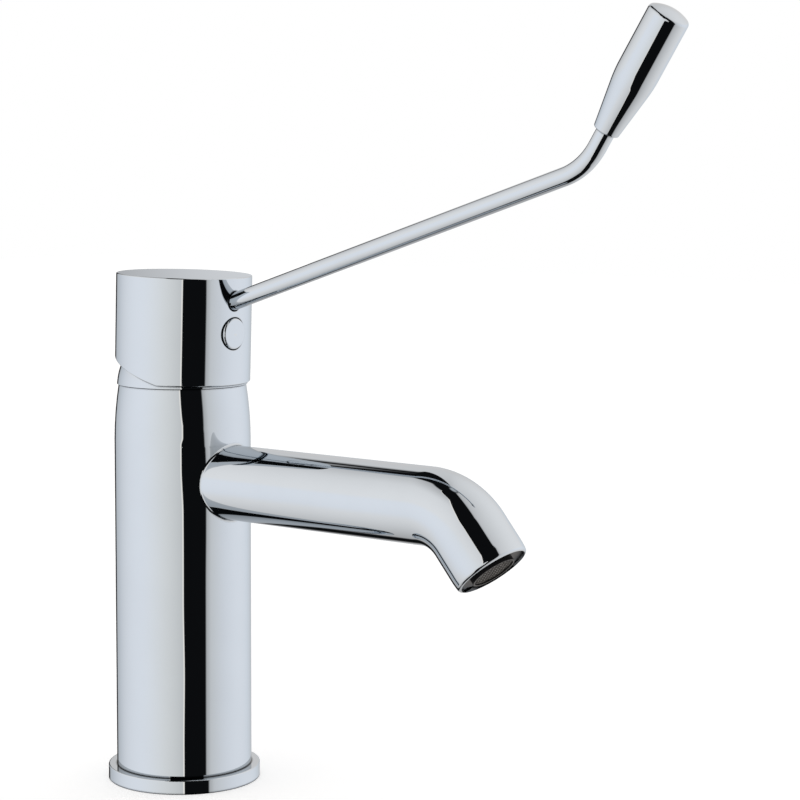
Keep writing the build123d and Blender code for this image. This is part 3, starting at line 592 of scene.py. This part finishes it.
def makeLeverGrip(settings, lever, corner, end):
    neck, full, hole = settings["neckDiameter"] / 2, settings["diameter"] / 2, settings["hole"] / 2
    taper, crown, ball = settings["taper"], settings["crown"], settings["endEdge"]
    dome = (full ** 2 + crown ** 2) / (2 * crown)
    domeHeight = settings["length"] + crown - dome
    lean = math.asin((full - ball) / (dome - ball))
    ballHeight = domeHeight + (dome - ball) * math.cos(lean)
    shape = bmesh.new()
    points = [(hole, settings["holeDepth"]), (hole, 0), (neck, 0), (full, taper), (full, ballHeight)]
    corners = [shape.verts.new((0, y, z)) for y, z in points]
    for low, high in zip(corners, corners[1:]):
        shape.edges.new((low, high))
    # the rounded edge, then the dome
    last = corners[-1:]
    for centre, angle in (((0, full - ball, ballHeight), math.pi / 2 - lean), ((0, 0, domeHeight), lean)):
        last = onlyVerts(sweepRound(shape, last, centre, angle, settings["endSteps"]))
    turnRound(shape, settings["around"])
    slant = math.atan2(full - neck, taper)
    blend = settings["blend"] * math.tan(slant / 2)
    neckEdge = settings["neckEdge"] * math.tan((math.pi / 2 - slant) / 2)
    roundRing(shape, taper, full, blend, settings["blendSteps"])
    roundRing(shape, 0, neck, neckEdge, settings["neckSteps"])
    bmesh.ops.recalc_face_normals(shape, faces=shape.faces[:])
    steep = math.radians(lever["gripAngle"])
    bmesh.ops.rotate(shape, matrix=Matrix.Rotation(math.pi / 2 - steep, 3, "X"), verts=shape.verts[:])
    bmesh.ops.translate(shape, vec=corner + end * lever["gripStart"], verts=shape.verts[:])
    leanForward(shape, lever)
    grip = finishPiece(shape, "leverGrip", finishes["chromed_metal"], "lever")
    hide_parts("lever_grip")


rodCorner, gripRun = makeLeverRod(leverShape)
makeLeverGrip(gripShape, leverShape, rodCorner, gripRun)
print("lever made")


# fine outer skin of the spout, over the casting: root curve, run, bend and rolled tip
spoutShape = {
    "height": 108.0,
    "diameter": 26.0,
    "bodyDiameter": 48.0,
    "rootRadius": 1.0,
    "reach": 118.7,  # forwards from the axis to the corner of the bend
    "angle": 50.0,
    "bendRadius": 22.0,
    "tip": 24.4,  # from the corner to the end
    "rollLength": 4.5,
    "rollDepth": 0.2,
    "edge": 0.95,
    "proud": 0.05,  # stands this far off the casting
    "proudAtBody": 0.02,
    "wall": 0.25,
    "around": 160,
    "rootSteps": 8,
    "bendSteps": 36,
    "bendLead": 1.0,
    "rollSteps": 8,
    "edgeSteps": 12,
    "tuckIn": [(-0.02, -0.1), (0, -0.4)],  # the last moves, back into the mouth
}


# an arc as small moves: how far out and how far along at each step
def arcMoves(radius, first, last, steps):
    angles = [first + (last - first) * step / steps for step in range(steps + 1)]
    places = [(radius * math.cos(angle), radius * math.sin(angle)) for angle in angles]
    return [(end[0] - start[0], end[1] - start[1]) for start, end in zip(places, places[1:])]


# root curve: a ball rolled between the spout and the body touches both
def curveRoot(shape, edges, settings):
    height, ball, count = settings["height"], settings["rootRadius"], settings["rootSteps"]
    spoutOut, bodyOut = settings["diameter"] / 2 + ball, settings["bodyDiameter"] / 2 + ball
    rows = [edges]
    for step in range(count):
        rows.insert(0, pull(shape, rows[0], (0, 0, 0)))
    for step, row in enumerate(rows):
        part = step / count
        lift = settings["proud"] * part + settings["proudAtBody"] * (1 - part)
        for vert in vertsOf(row):
            out = Vector((vert.co.x, 0, vert.co.z - height)).normalized()
            centre = Vector((0, 0, height)) + out * spoutOut
            centre.y = -math.sqrt(bodyOut ** 2 - centre.x ** 2)
            toBody = -Vector((centre.x, centre.y, 0)).normalized()
            vert.co = centre + toBody.slerp(-out, part) * (ball - lift)


# the tip, rolled in a little and then rounded over to the aerator's seat
def rollTip(shape, edges, settings, along):
    proud, depth, edge = settings["proud"], settings["rollDepth"], settings["edge"]
    run = settings["rollLength"] - edge
    rollRadius = (run ** 2 + depth ** 2) / (2 * depth) + proud
    roll = math.asin(run / rollRadius)
    edgeRadius = edge / math.sqrt(2) / math.sin(math.pi / 4 - roll) + proud
    moves = arcMoves(rollRadius, 0, roll, settings["rollSteps"])
    moves += arcMoves(edgeRadius, roll, math.pi / 2 - roll, settings["edgeSteps"])
    radius = settings["diameter"] / 2 + proud
    middle = Vector((0, -settings["reach"], settings["height"]))
    middle += along * (settings["tip"] - settings["rollLength"])
    for outward, onward in moves + settings["tuckIn"]:
        edges = pull(shape, edges, along * onward, (radius + outward) / radius, middle)
        radius, middle = radius + outward, middle + along * onward


def makeSpoutSkin(settings):
    height, bend, lead = settings["height"], math.radians(settings["angle"]), settings["bendLead"]
    shape = bmesh.new()
    edges = ringOf(shape, settings["diameter"] / 2 + settings["proud"], settings["around"])
    ring = vertsOf(edges)
    bmesh.ops.rotate(shape, matrix=Matrix.Rotation(math.pi / 2, 3, "X"), verts=ring)
    bmesh.ops.translate(shape, vec=(0, 0, height), verts=ring)
    curveRoot(shape, edges, settings)
    cut = settings["bendRadius"] * math.tan(bend / 2)
    bendStart = cut - settings["reach"]
    runStart = -(settings["bodyDiameter"] / 2 + settings["rootRadius"] + lead)
    for stop in (runStart, bendStart + lead, bendStart):
        edges = pull(shape, edges, (0, 0, 0))
        for vert in vertsOf(edges):
            vert.co.y = stop
    centre = (0, bendStart, height - settings["bendRadius"])
    edges = onlyEdges(sweepRound(shape, vertsOf(edges) + edges, centre, bend, settings["bendSteps"]))
    along = Vector((0, -math.cos(bend), -math.sin(bend)))
    straight = settings["tip"] - settings["rollLength"] - cut
    for length in (lead, straight - 2 * lead, lead):
        edges = pull(shape, edges, along * length)
    rollTip(shape, edges, settings, along)
    bmesh.ops.recalc_face_normals(shape, faces=shape.faces[:])
    bmesh.ops.solidify(shape, geom=shape.faces[:], thickness=settings["wall"])
    skin = finishPiece(shape, "spoutSkin", finishes["chromed_metal"], "tap_body")


makeSpoutSkin(spoutShape)
print("spout made")
